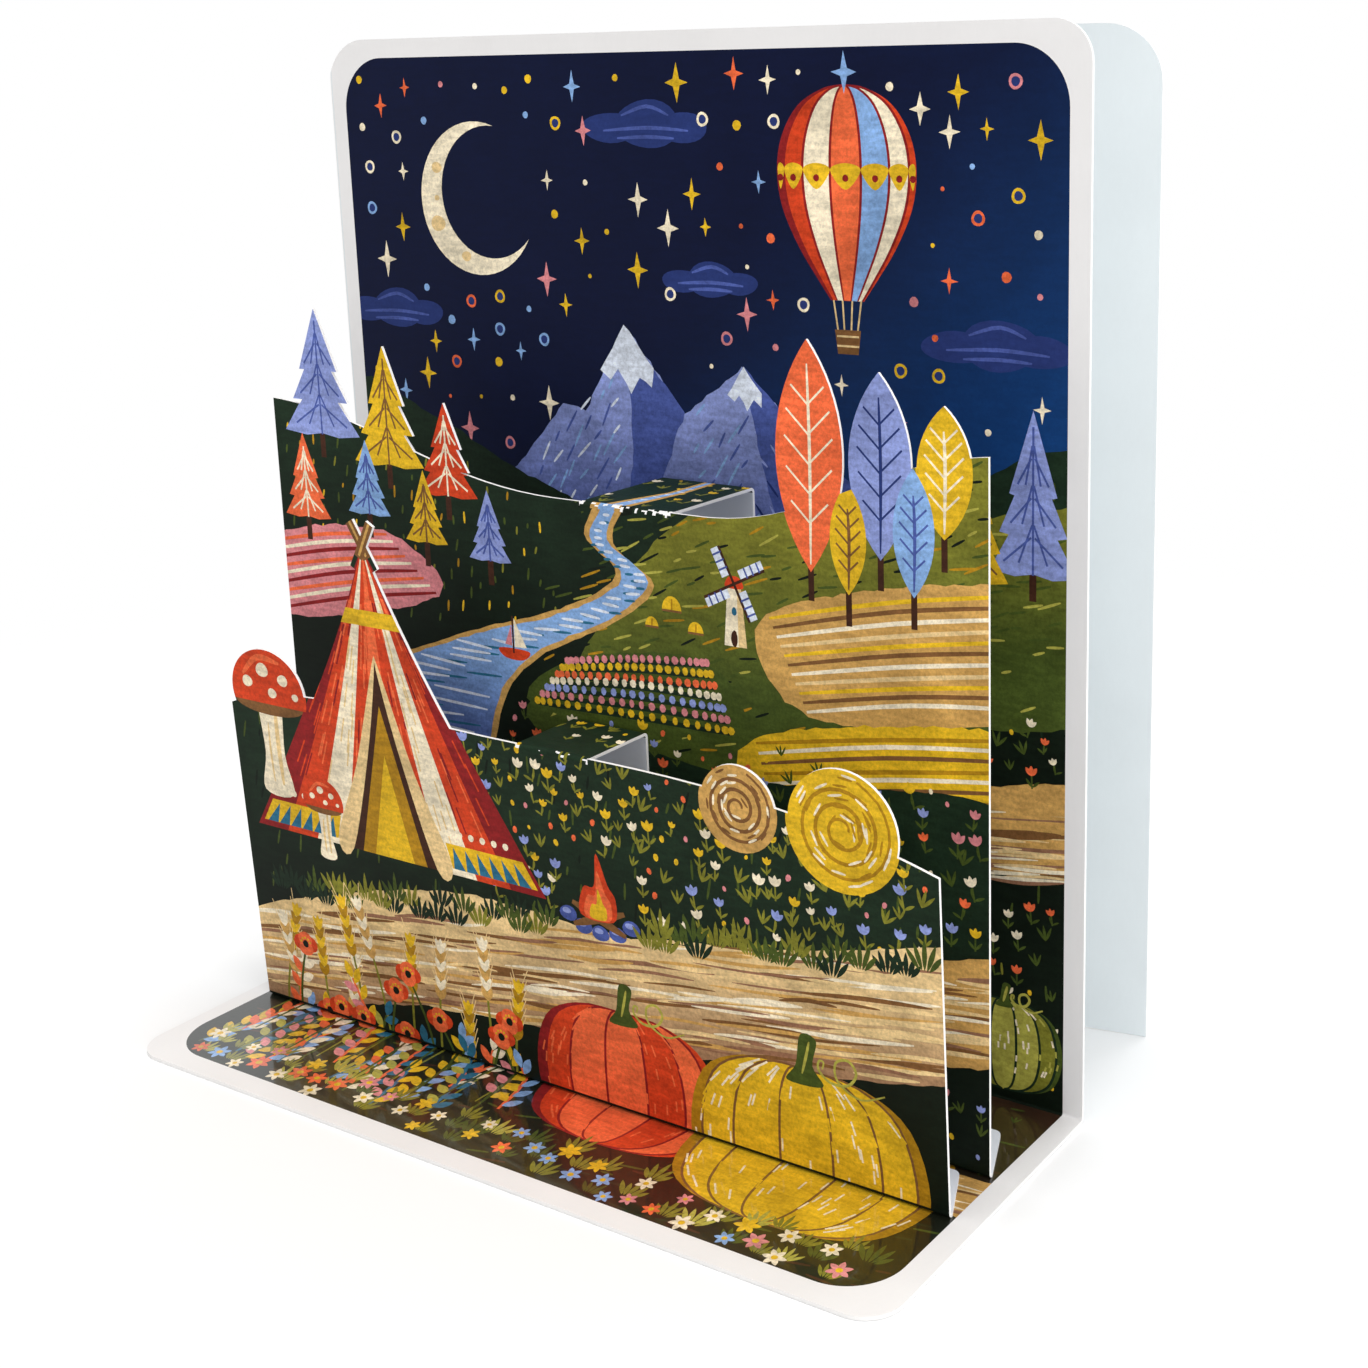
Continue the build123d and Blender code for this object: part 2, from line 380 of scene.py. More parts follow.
def fir(p, x, foot, top, half, ink, twig):
    """A fir of three stepped tiers, with drooping twigs."""
    rise = (top - foot) / 2
    stroke(p, "bark", [(x, foot - 4.5), (x, foot + 1)], 1.3, tip=0.8)
    tiers = [(foot + k * rise / 2, half * (1 - 0.24 * k)) for k in range(3)]
    skirt = [(-1, 0), (-0.42, -0.05), (0, 0), (0.45, -0.05), (1, 0), (0, 1)]
    for low, wide in tiers:
        shape(p, ink, put(skirt, x, low - 0.3, wide + 0.35, rise + 0.7))
    for low, wide in tiers:
        for share in (-0.62, -0.3, 0.3, 0.62):
            start = (x + share * 0.5, low + rise * (0.75 - abs(share) * 0.5))
            stroke(p, twig, [start, (x + wide * share * 1.15, low + rise * 0.1)], 0.42, tip=0.5)
    stroke(p, twig, [(x, foot - 0.5), (x, top - 2)], 0.5)


def poplar(p, x, foot, top, half, ink, vein):
    """A slim poplar of two arcs, with a rib and side veins."""
    length = top - foot
    middle = (foot + top) / 2
    radius = (length ** 2 / 4 + half ** 2) / (2 * half)
    swing = degrees(asin(length / 2 / radius))
    ring = arc(half - radius, 0, radius, -swing, swing, 14)
    ring += arc(radius - half, 0, radius, 180 - swing, 180 + swing, 14)[1:-1]
    stroke(p, "bark", [(x, foot - 5), (x, foot + 2)], 1.1, tip=0.8)
    shape(p, ink, put(ring, x, middle, 1.04))
    stroke(p, vein, [(x, foot + 0.5), (x + 0.2, middle), (x, top - 3.5)], 0.55)
    for i in range(5):
        y = foot + length * (0.2 + 0.13 * i)
        reach = half * 0.72 * sin(pi * (0.28 + 0.12 * i))
        for side in (-reach, reach):
            stroke(p, vein, [(x, y), (x + side, y + reach * 0.95)], 0.4, tip=0.4)


def cloud(p, x, y, width):
    """A flat-bottomed bank of night cloud."""
    for place, across, up in ((-0.3, 0.24, 0.1), (0.02, 0.27, 0.16), (0.3, 0.22, 0.1), (0.0, 0.5, 0.06)):
        spot(p, "haze", x + place * width, y + up * width * 0.4, across * width, up * width, steps=24)
    for rise, reach, lift in ((0.12, 0.2, 0.06), (0.02, 0.36, 0.02), (-0.03, 0.24, 0.01)):
        line = [(-reach, rise), (0.02, rise + lift), (reach, rise)]
        stroke(p, "slate", put(line, x, y, width), 0.6)


def moon(p, x, y, radius):
    """A crescent moon, open to the upper right."""
    outer = arc(0, 0, 1, 70, 330, 34)
    inner = arc(0.235, 0.086, 0.861, -42.8, -277.2, 30)[1:-1]
    shape(p, "cream", put(outer + inner, x, y, radius))
    for angle, share, size in ((150, 0.8, 1.2), (205, 0.8, 1.7), (252, 0.8, 1.1), (180, 0.72, 0.6)):
        spot_x, spot_y = on_circle(x, y, radius * share, angle)
        spot(p, "sand", spot_x, spot_y, size, size * 0.8)


def gores(p, x, y, wide, profile, inks, seam):
    """Upright segments round a turned body, as on a balloon or a pumpkin."""
    side = smooth(profile, closed=False, steps=4)
    edges = [sin(pi * (i / len(inks) - 0.5)) for i in range(len(inks) + 1)]
    for ink, near, far in zip(inks, edges, edges[1:]):
        ring = [(near * s, t) for s, t in side] + [(far * s, t) for s, t in side[::-1]]
        shape(p, ink, put(ring, x, y, wide))
    for edge in edges[1:-1]:
        stroke(p, seam, put([(edge * s, t) for s, t in side[::4]], x, y, wide), 0.45, tip=0.5)
    return edges


def balloon(p, x, y, wide):
    """A hot-air balloon with coloured gores, a swagged band and a basket."""
    profile = [(0.02, 1.22), (0.34, 1.17), (0.68, 0.98), (0.92, 0.62), (1.0, 0.2), (0.93, -0.25),
               (0.7, -0.72), (0.42, -1.12), (0.24, -1.36)]
    inks = "wine brick cream coral sky cream brick".split()
    edges = gores(p, x, y, wide, profile, inks, "wine")
    for near, far in zip(edges, edges[1:]):
        half = (near + far) / 2
        swag = [(near * 0.99, 0.22), (half, -0.02), (far * 0.99, 0.22), (half, 0.3)]
        blob(p, "gold", put(swag, x, y, wide), rough=0)
        spot(p, "wine", x + wide * half, y + wide * 0.12, wide * 0.045, steps=9)
    for share in (-0.2, -0.07, 0.07, 0.2):
        stroke(p, "sand", put([(share, -1.36), (share * 0.7, -1.75)], x, y, wide), 0.32, tip=0.8)
    shape(p, "umber", put([(-0.19, -1.72), (-0.15, -2.02), (0.15, -2.02), (0.19, -1.72)], x, y, wide))
    for level in (-1.8, -1.92):
        stroke(p, "sand", put([(-0.16, level), (0.16, level)], x, y, wide), 0.35, tip=0.7)


def pumpkin(p, x, y, wide, inks, seam, light):
    """A ribbed pumpkin with its stalk and a curling tendril."""
    profile = [(0.06, 0.74), (0.5, 0.71), (0.86, 0.5), (1.0, 0.02), (0.88, -0.46), (0.55, -0.68),
               (0.06, -0.74)]
    inks = inks.split()
    gores(p, x, y, wide, profile, inks, seam)
    for i in range(int(wide * 7)):
        share, level = vary(-0.96, 0.96), vary(-0.62, 0.62)
        line = [(share * sqrt(1 - (t / 0.78) ** 2), t) for t in (level, level + 0.1)]
        stroke(p, (light, inks[3])[i % 2], put(line, x, y, wide), 0.42, tip=0.4)
    stalk = [(-0.13, 0.62), (-0.05, 0.76), (0.0, 1.0), (0.13, 0.98), (0.09, 0.78), (0.17, 0.64)]
    blob(p, "moss", put(stalk, x, y, wide), rough=0)
    stroke(p, "lime", put([(0.0, 0.7), (0.04, 0.84), (0.07, 0.96)], x, y, wide), 0.5)
    curl = [(0.12 + 0.035 * k + (0.05 + 0.012 * k) * cos(1.1 * k),
             0.78 + (0.05 + 0.01 * k) * sin(1.1 * k)) for k in range(12)]
    stroke(p, "lime", put(curl, x, y, wide), 0.45, tip=0.5)


def toadstool(p, x, foot, cap, across, up):
    """A spotted toadstool."""
    tall = cap - foot
    stem = [(-0.4, 0.0), (-0.27, 0.4), (-0.3, 1.0), (0.3, 1.0), (0.27, 0.4), (0.4, 0.0)]
    blob(p, "cream", put(stem, x, foot, across, tall), rough=0)
    stroke(p, "sand", put([(0.14, 0.08), (0.12, 0.5), (0.14, 0.9)], x, foot, across, tall), across * 0.12)
    stroke(p, "sand", put([(-0.1, 0.1), (-0.12, 0.4), (-0.1, 0.7)], x, foot, across, tall), 0.5)
    spot(p, "umber", x, cap - up * 0.25, across * 0.94, up * 0.26, steps=24, wobble=0)
    shape(p, "brick", put(arc(0, 0, 1.05, -14, 194, 28), x, cap, across, up))
    stroke(p, "coral", put([(-0.66, 0.36), (-0.2, 0.8), (0.4, 0.74)], x, cap, across, up), across * 0.13)
    dots = ((-0.55, 0.2, 0.14), (-0.1, 0.52, 0.17), (0.45, 0.36, 0.14), (0.12, 0.02, 0.12),
            (0.75, 0.02, 0.09))
    for a, b, size in dots:
        spot(p, "cream", x + across * a, cap + up * b, across * size, across * size * 0.85)


def bale(p, x, y, radius, ink, line):
    """A round hay bale seen from its end."""
    spot(p, ink, x, y, radius + 0.4, wobble=0, steps=36)
    coil = [on_circle(0, 0, 0.12 + 0.02 * i, i * 29.5) for i in range(40)]
    stroke(p, line, put(coil, x, y, radius), 0.62, tip=0.6, steps=2)
    for i in range(int(radius * 5)):
        angle = vary(0, 6.28)
        reach = radius * vary(0.2, 0.92)
        place = (x + reach * cos(angle), y + reach * sin(angle))
        dash(p, ("cream", line)[i % 2], *place, radius * 0.26, angle + 1.6, 0.4)


def tent(p, x, foot, top, half):
    """A tall tent: striped cloth, lit doorway, patterned hem and crossed poles."""
    def on_cloth(share, drop):
        """Share runs from the left edge to the right, drop from the top to the hem."""
        return (x + half * share * drop * (1 - 0.088 * (1 - drop)), top - (top - foot) * drop)

    def patch(ink, *points):
        """A field of ink on the cloth."""
        shape(p, ink, [on_cloth(*point) for point in points])

    drops = [i / 8 for i in range(9)]
    stripes = "wine brick cream brick coral brick cream brick wine".split()
    for i, ink in enumerate(stripes):
        near, far = -1.03 + 2.06 * i / 9, -1.03 + 2.06 * (i + 1) / 9
        patch(ink, *((near, d) for d in drops), *((far, d) for d in drops[::-1]))
    for i in range(150):
        share, drop = vary(-0.97, 0.97), vary(0.15, 0.86)
        ink = stripes[int((share + 1.03) / 2.06 * 9)]
        ink = {"wine": "brick", "cream": "sand"}.get(ink, ("coral", "wine", "coral")[i % 3])
        stroke(p, ink, [on_cloth(share, drop), on_cloth(share, drop + 0.08)], 0.42, tip=0.4)
    for drop, share, ink in ((0.34, 0.3, "bark"), (0.5, 0.23, "mustard"), (0.66, 0.14, "gold")):
        patch(ink, (0, drop), (share, 1), (-share, 1))
    for side in (-1, 1):
        flap = ((0, 0.34), (0.16, 0.62), (0.3, 1.0), (0.42, 0.97), (0.3, 0.7))
        blob(p, "sand", [on_cloth(side * a, b) for a, b in flap], rough=0)
    for near, far in ((-1.0, -0.42), (0.42, 1.0)):
        patch("gold", (near, 0.9), (far, 0.9), (far, 0.98), (near, 0.98))
    for near in [-0.97 + 0.09 * i for i in range(6)] + [0.43 + 0.09 * i for i in range(6)]:
        patch("teal", (near, 0.98), (near + 0.08, 0.98), (near + 0.04, 0.91))
        spot(p, "cream", *on_cloth(near + 0.04, 0.865), 0.62, steps=10)
    patch("gold", (-1, 0.2), (1, 0.2), (1, 0.25), (-1, 0.25))
    for side in (-1, 1):
        stroke(p, "umber", put([(side * 2.5, 4.35), (-side * 1.1, -1.9)], x, top, 1), 2.1, tip=1)
        stroke(p, "straw", put([(side * 2.3, 4.2), (-side * 0.8, -1.6)], x, top, 1), 0.5, tip=1)


def campfire(p, x, y, size):
    """Flames over crossed logs in a ring of stones."""
    stones = ((-0.95, -0.05), (-0.5, -0.3), (0.02, -0.38), (0.55, -0.3), (0.98, -0.04))
    for a, b in put(stones, x, y, size):
        spot(p, "slate", a, b, size * 0.27, size * 0.2)
        spot(p, "lavender", a - 0.3, b + 0.4, size * 0.14, size * 0.08, steps=10)
    for lean in (-0.35, 0.35):
        dash(p, "umber", x, y, size * 1.7, lean, 1.5)
    flame = [(-0.55, 0.02), (-0.42, 0.75), (-0.08, 0.85), (0.05, 1.7), (0.34, 0.95), (0.56, 0.6), (0.45, 0)]
    for ink, scale in (("brick", 1.0), ("coral", 0.74), ("gold", 0.46)):
        blob(p, ink, put(flame, x, y, size * scale), rough=0)


def wheat(p, x, y, height, lean, inks):
    """An ear of wheat on its stalk: pairs of grains with thin awns."""
    line = stem(x, y, height, lean, 0.3, 0.55)
    stroke(p, "olive", line, 0.5, tip=0.5)
    (bend_x, bend_y), (top_x, top_y) = line[1:]
    turn = atan2(top_y - bend_y, top_x - bend_x)
    for i in range(6):
        ax, ay = top_x - cos(turn) * 1.75 * i, top_y - sin(turn) * 1.75 * i
        for side in (-0.42, 0.42):
            awn = on_circle(ax, ay, 5.4, degrees(turn + side * 0.8))
            stroke(p, "sand", [(ax, ay), awn], 0.24, tip=0.3)
            leaf(p, inks[i % 2], ax, ay, 2.8, 1.2, turn + side)
    leaf(p, inks[0], top_x, top_y, 2.9, 1.2, turn)


def sprig(p, x, y, height, lean, stalk, inks):
    """A leafy stem, with leaves to the left and right by turns."""
    line = smooth(stem(x, y, height, lean, 0.35, 0.5), closed=False, steps=max(2, int(height / 2.6)))
    stroke(p, stalk, line, 0.75, tip=0.5, steps=1)
    for i, ((ax, ay), (bx, by)) in enumerate(zip(line[1:], line[2:])):
        turn = atan2(by - ay, bx - ax)
        leaf(p, inks[i % len(inks)], ax, ay, 3.5, 1.75, turn + (-0.85, 0.85)[i % 2])
    leaf(p, inks[0], *line[-1], 3.5, 1.8, turn)


def daisy(p, ink, x, y, size):
    """A daisy with six petals."""
    start = vary(0, 1)
    for k in range(6):
        leaf(p, ink, x, y, size, size * 0.5, start + k * pi / 3)
    spot(p, "gold", x, y, size * 0.28, steps=8)


def poppy(p, x, y, height, lean, size):
    """A poppy on a thin stem."""
    line = stem(x, y, height, lean, 0.3, 0.6)
    stroke(p, "moss", line, 0.55, tip=0.6)
    top_x, top_y = line[-1]
    petals = ((-0.42, 0.16, "brick"), (0.42, 0.18, "brick"), (0, 0.42, "coral"), (0, -0.12, "coral"))
    for a, b, ink in petals:
        spot(p, ink, top_x + a * size, top_y + b * size, size * 0.58, size * 0.5)
    spot(p, "deep", top_x, top_y + size * 0.14, size * 0.24, steps=10)
    for a, b in arc(top_x, top_y + size * 0.14, size * 0.38, 20, 160, 4):
        spot(p, "gold", a, b, 0.25, steps=6)


def windmill(p, x, foot, tall):
    """A small tower mill with four lattice sails."""
    shape(p, "cream", put([(-0.22, 0), (0.22, 0), (0.13, 1), (-0.13, 1)], x, foot, tall))
    shape(p, "sand", put([(0.06, 0), (0.22, 0), (0.13, 1), (0.05, 1)], x, foot, tall))
    blob(p, "brick", put([(-0.17, 0.97), (-0.1, 1.14), (0.1, 1.14), (0.17, 0.97)], x, foot, tall), rough=0)
    spot(p, "bark", x - 0.2, foot + tall * 0.13, tall * 0.065, tall * 0.14)
    spot(p, "teal", x - 0.1, foot + tall * 0.58, tall * 0.05, tall * 0.07)
    for i in range(4):
        sail = (x, foot + tall * 1.03, 0.45 + i * pi / 2, tall * 0.66)
        shape(p, "snow", turned([(0.25, 0.02), (1, 0.02), (1, 0.26), (0.25, 0.26)], *sail))
        stroke(p, "bark", turned([(0, 0), (1, 0)], *sail), 0.5, tip=0.8)
        for a in (0.45, 0.65, 0.85):
            stroke(p, "slate", turned([(a, 0), (a, 0.26)], *sail), 0.32, tip=0.9)


def sailboat(p, x, y, size):
    """A small boat with two sails."""
    blob(p, "brick", put([(-1, 0.2), (-0.6, -0.32), (0.7, -0.32), (1.1, 0.22)], x, y, size), rough=0)
    stroke(p, "bark", put([(0, 0), (0, 2.1)], x, y, size), 0.4, tip=0.8)
    shape(p, "cream", put([(0.1, 0.35), (0.95, 0.4), (0.1, 2.0)], x, y, size))
    shape(p, "rose", put([(-0.1, 0.4), (-0.6, 0.45), (-0.1, 1.6)], x, y, size))


def river(p, course):
    """A winding stream with sandy banks and ripples. The course is x, y and half width."""
    line = smooth(course, closed=False, steps=6)
    for ink, spare in (("straw", 1.1), ("lake", 0.0)):
        left = [(x - h - spare, y + spare * 0.4) for x, y, h in line]
        right = [(x + h + spare, y - spare * 0.4) for x, y, h in line]
        shape(p, ink, left + right[::-1], rough=0.15)
    for x, y, h in line[3:]:
        dash(p, "snow", x + vary(-0.5, 0.5) * h, y, h * 0.9, vary(-0.1, 0.1), 0.5)
        dash(p, "teal", x + vary(-0.5, 0.5) * h, y - 1.2, h * 0.7, 0.05, 0.45)


def crops(p, ink, corners, rows, inks, width):
    """A ploughed or sown field with rows across it."""
    blob(p, ink, list(corners))
    for ink, line in zip(by_turns(inks), rows_across(corners, rows)):
        stroke(p, ink, line, width, tip=0.5)


def flower_field(p, corners, rows, inks):
    """A field with rows of flowers across it."""
    blob(p, "moss", list(corners))
    for ink, line in zip(by_turns(inks), rows_across(corners, rows)):
        stroke(p, "pine", line, 0.9, tip=0.5)
        for x, y in smooth(line, closed=False, steps=10):
            spot(p, ink, x, y + 0.5, vary(0.5, 0.72), 0.7, steps=7)


def night_lights(p, places):
    """Glints, dots and rings in chalky colours."""
    inks = by_turns("gold cream rose gold sky cream coral")
    glint = [(0.72, 0), (0.19, 0.17), (0, 1), (-0.19, 0.17), (-0.72, 0), (-0.19, -0.17), (0, -1),
             (0.19, -0.17)]
    for i, (ink, (x, y)) in enumerate(zip(inks, places)):
        if i % 5 in (0, 2):
            shape(p, ink, put(glint, x, y, vary(1.5, 3.3)), rough=0.08)
        elif i % 5 == 4:
            spot(p, ink, x, y, 1.15)
            spot(p, "haze", x, y, 0.72, steps=12)
        else:
            spot(p, ink, x, y, vary(0.35, 0.85), steps=10)


def furrows(p, count, low, high, inside):
    """Long strokes of a sandy bank."""
    inks = by_turns("straw sand umber sand mauve cream")
    for ink, (x, y) in zip(inks, scatter(count, low, high, 1.9, inside=inside)):
        bow = vary(-0.6, 0.6)
        length = vary(5, 13)
        line = [(x - length, y - length * 0.14), (x, y + bow), (x + length, y + length * 0.14)]
        stroke(p, ink, line, vary(0.4, 0.85), tip=0.1)


def back_picture():
    """Night sky over far mountains, with a moon and a balloon."""
    p = []
    busy = [(-41, 141, 16), (34, 144, 16), (34, 122, 8), (-10, 112, 17), (15, 105, 12)]
    for x, y, width in ((-4, 152, 24), (-62, 120, 22), (60, 120, 24), (8, 128, 18)):
        cloud(p, x, y, width)
        busy.append((x, y, width * 0.42))
    moon(p, -41, 141, 13)
    balloon(p, 34, 144, 12.5)
    night_lights(p, scatter(125, (-68, 98), (68, 161.5), 5.6, busy))
    # Far mountains with snow on their heads
    peaks = [(-52, 84), (-34, 96), (-24, 107), (-19, 106), (-10, 121), (-4, 114), (2, 107), (9, 112),
             (14, 115.5), (20, 110), (30, 101), (46, 90), (60, 82), (60, 60), (-52, 60)]
    shape(p, "far_peak", peaks, rough=0.25)
    shades = ([(-10, 121), (-4, 114), (2, 107), (-3, 96), (-6, 84), (-1, 70), (-14, 74), (-9, 100)],
              [(14, 115.5), (20, 110), (30, 101), (46, 90), (40, 80), (22, 84), (17, 100)])
    for shade in shades:
        shape(p, "slate", shade, rough=0.25)
    cap = [(0, 0), (-5.4, -7.8), (-3.2, -9.4), (-1.6, -7.4), (1, -11.5), (3, -8.5), (5.4, -10), (5.8, -6.8)]
    for x, y, size in ((-10, 121, 1.0), (14, 115.5, 0.62)):
        shape(p, "snow", put(cap, x, y, size), rough=0.15)
    slope = scatter(46, (-34, 84), (-12, 112), 2.6, inside=lambda x, y: y < 127 + x)
    hatch(p, slope, 3.6, 0.95, 0.45, "sky slate snow")
    hatch(p, scatter(26, (4, 84), (15, 108), 2.4), 3.4, 0.9, 0.45, "sky slate")
    slope = scatter(30, (17, 84), (34, 104), 2.4, inside=lambda x, y: y < 126 - x * 0.9)
    hatch(p, slope, 3.4, -0.9, 0.45, "lavender haze")
    # Near hills at the sides, down to the fold
    blob(p, "fir_hill", [(-76, 104), (-56, 103), (-34, 94), (-4, 86), (28, 88), (50, 97), (76, 104),
                         (80, 40), (76, -6), (-76, -6), (-80, 40)])
    for i in range(330):
        x, y = -70 + i * 0.618 % 1 * 140, 4 + i * 0.3
        if y < 81 + 0.006 * x * x:
            ink = ("moss", "deep", "moss", "olive", "pine")[i % 5]
            dash(p, ink, x, y, 2 + i % 3 * 0.7, 1.3 + i % 4 * 0.12, 0.45)
    blob(p, "grass_hill", [(30, 84), (48, 92), (76, 98), (78, 80), (76, 66), (52, 62), (32, 68)])
    hatch(p, scatter(90, (36, 66), (70, 94), 2.2), 3.2, 0.25, 0.45, "lime moss moss")
    fir(p, 66, 88, 112, 7, "lavender", "slate")
    fir(p, 56, 86, 104, 5.5, "gold", "umber")
    blob(p, "straw", [(20, 40), (44, 49), (76, 56), (78, 48), (76, 42), (46, 36), (22, 30)])
    furrows(p, 60, (40, 36), (72, 54), lambda x, y: 37 < y - (x - 50) * 0.1 < 48)
    flowers(p, scatter(34, (40, 56), (70, 64), 3.0) + scatter(50, (40, 4), (70, 34), 3.6), 0.9,
            "gold cream rose coral", "moss")
    pumpkin(p, 61, 10, 10.5, "moss olive olive lime lime olive moss", "pine", "cream")
    return p


def middle_picture():
    """A valley with a stream, fields, firs on the left hill and poplars on the right."""
    p = []
    blob(p, "grass_hill", [(6, 84), (14, 92), (24, 98), (44, 108), (76, 114), (80, 92), (76, 58), (46, 50),
                           (6, 52), (-16, 58), (-4, 70)])
    slope = scatter(430, (-12, 56), (70, 110), 1.7)
    hatch(p, slope, 3.2, 0.33, 0.42, "lime moss moss mustard deep")
    blob(p, "fir_hill", [(-76, 112), (-50, 108), (-28, 102), (-6, 97), (-2, 88), (-16, 78), (-40, 70),
                         (-76, 64)])
    slope = scatter(150, (-69, 72), (-8, 108), 2.5)
    hatch(p, slope, 1.5, 1.45, 0.45, "moss mustard olive moss gold")
    crops(p, "rose", ((-74, 82), (-46, 86), (-34, 76), (-74, 68)), 9, "coral cream wine", 0.7)
    river(p, [(5, 97, 1.2), (1, 90, 1.8), (8, 84, 2.6), (-2, 77, 4.5), (-20, 70, 8), (-34, 62, 13),
              (-44, 50, 19)])
    sailboat(p, -18, 68.5, 3.0)
    crops(p, "straw", ((33, 82), (76, 91), (76, 73), (40, 67)), 11, "gold umber cream sand", 0.7)
    crops(p, "gold", ((30, 62), (76, 70), (76, 56), (34, 48)), 9, "mustard cream umber", 0.7)
    flower_field(p, ((-6, 69), (21, 73), (26, 61), (-14, 60)), 7,
                 "rose gold coral cream lavender")
    windmill(p, 27, 76, 9.5)
    for x, y, r in ((15, 80, 1.9), (19.5, 77, 1.5), (11, 77, 1.3)):
        shape(p, "gold", put(arc(0, 0, 1, 0, 180, 10), x, y, r, r * 1.25))
        stroke(p, "umber", [(x - r, y), (x + r, y)], 0.5)
        stroke(p, "mustard", [(x, y + 0.2), (x + 0.1, y + r)], 0.4)
    # Trees along the cut edge first, then smaller ones on the slopes
    firs = (
        (11.5 - LAYER_HALF, 102, 123, 8.6, "lavender", "slate"),
        (27.0 - LAYER_HALF, 98, 117.5, 7.6, "gold", "umber"),
        (40.0 - LAYER_HALF, 94, 109, 6.2, "brick", "cream"), (-64, 87, 101, 5.2, "coral", "cream"),
        (-49, 89, 101, 4.6, "sky", "slate"), (-36, 85.5, 97, 4.4, "gold", "umber"),
        (-22, 84, 95, 4.2, "lavender", "slate"),
    )
    poplars = (
        (LAYER_HALF - 29.5, 90, 123.5, 5.8, "coral", "cream"),
        (LAYER_HALF - 17.5, 93, 119.5, 5.2, "lavender", "haze"),
        (LAYER_HALF - 7.0, 97, 115.5, 4.4, "gold", "cream"), (58.5, 88, 106, 3.3, "sky", "slate"),
        (47.5, 87, 103, 3.0, "gold", "umber"),
    )
    for tree in firs:
        fir(p, *tree)
    for tree in poplars:
        poplar(p, *tree)
    # Meadow below, which shows beside the front layer
    blob(p, "meadow", [(-76, 48), (-40, 46), (0, 56), (30, 55), (76, 58), (80, 30), (76, -6), (-76, -6),
                       (-80, 20)])
    blob(p, "straw", [(20, 22), (50, 30), (78, 36), (80, 28), (78, 20), (50, 14), (22, 10)])
    furrows(p, 50, (40, 12), (72, 34), lambda x, y: 16 < y - (x - 50) * 0.2 < 28)
    flowers(p, scatter(120, (-20, 38), (70, 60), 2.9) + scatter(30, (40, 2), (70, 12), 3.4), 0.95,
            "gold cream rose coral lavender", "moss")
    return p


def foreground(p):
    """Wheat, poppies and pumpkins that run on from the front layer over the base, alike on both."""
    spread = random.Random(8).uniform
    for i in range(11):
        x, lean = -66 + i * 5.4 + spread(-1.2, 1.2), spread(-0.2, 0.2)
        inks = (("gold", "mustard"), ("cream", "straw"))[i % 2]
        wheat(p, x, -14 + spread(0, 5), 27 + spread(-6, 8), lean, inks)
    for i in range(17):
        x, lean = -67 + i * 3.7 + spread(-1.2, 1.2), spread(-0.5, 0.5)
        inks = (("sky", "gold"), ("cream", "coral"), ("teal", "lime"), ("gold", "rose"))[i % 4]
        sprig(p, x, -20 + spread(0, 12), 15 + spread(-4, 6), lean, ("moss", "coral", "teal")[i % 3], inks)
    pumpkin(p, 12, 4, 18.5, "wine brick coral coral brick coral brick", "wine", "coral")
    pumpkin(p, 46, 1.5, 21.5, "mustard gold gold gold gold gold mustard", "umber", "cream")
    for i in range(10):
        x, lean = -64 + i * 5.9 + spread(-1.4, 1.4), spread(-0.3, 0.3)
        poppy(p, x, -17 + spread(0, 7), 17 + spread(-4, 12), lean, 3.0)


def front_picture():
    """A tent and a fire on a flowery meadow, over a sandy bank."""
    p = []
    hatch(p, scatter(170, (-69, 20), (69, 60), 2.6), 2.6, 1.4, 0.45, "moss deep moss")
    spots = [(9, 36, 9), (37, 57, 7), (55, 57, 9.6)]
    flowers(p, scatter(190, (-18, 34), (69, 60), 2.7, spots), 0.95,
            "gold cream rose gold coral lavender", "olive")
    tent(p, 36.0 - LAYER_HALF, 34, 88, 32)
    toadstool(p, 9.5 - LAYER_HALF, 41, 59, 8.8, 7.8)
    toadstool(p, 20.0 - LAYER_HALF, 31, 41, 4.6, 4.2)
    bale(p, LAYER_HALF - 33.5, 57, 6.6, "straw", "umber")
    bale(p, LAYER_HALF - 15.5, 57, 9.2, "gold", "mustard")
    # Sandy bank that rises to the right
    blob(p, "bank", [(-76, 14), (-50, 24), (-20, 31), (14, 31), (44, 36), (78, 44), (80, 36), (78, 24),
                     (44, 16), (10, 12), (-30, 8), (-76, -2)])
    furrows(p, 210, (-69, 0), (69, 42), lambda x, y: 12 + x * 0.13 < y < 29 + x * 0.15)
    campfire(p, 9, 33, 6.5)
    edge = scatter(60, (-66, 20), (68, 42), 2.6, [(9, 33, 9)], lambda x, y: abs(y - 30.5 - x * 0.12) < 1.6)
    for ink, (x, y) in zip(by_turns("moss olive pine"), edge):
        tuft(p, ink, x, y - 1.5, 5.0)
    foreground(p)
    return p


def base_picture():
    """Ground in front of the scene and between its layers."""
    p = []
    hatch(p, scatter(230, (-70, -22), (70, 32), 2.6), 4.0, 0.1, 0.5, "pine moss deep bark")
    blob(p, "straw", [(-76, 1), (0, 3), (76, 1), (78, 6), (76, 11), (0, 9), (-76, 10)])
    furrows(p, 70, (-70, 2), (70, 9), lambda x, y: True)
    flowers(p, scatter(70, (-69, 13), (69, 32), 3.6), 0.9, "gold cream rose coral", "moss")
    foreground(p)
    greens = by_turns("moss olive lime olive")
    for ink, (x, y) in zip(greens, scatter(46, (-67, -21), (67, -13), 3.4)):
        tuft(p, ink, x, y, vary(3.5, 5.5))
    petals = by_turns("cream sky rose gold cream coral")
    for ink, (x, y) in zip(petals, scatter(44, (-67, -20.5), (67, -13), 3.4)):
        daisy(p, ink, x, y, vary(1.4, 2.2))
    return p


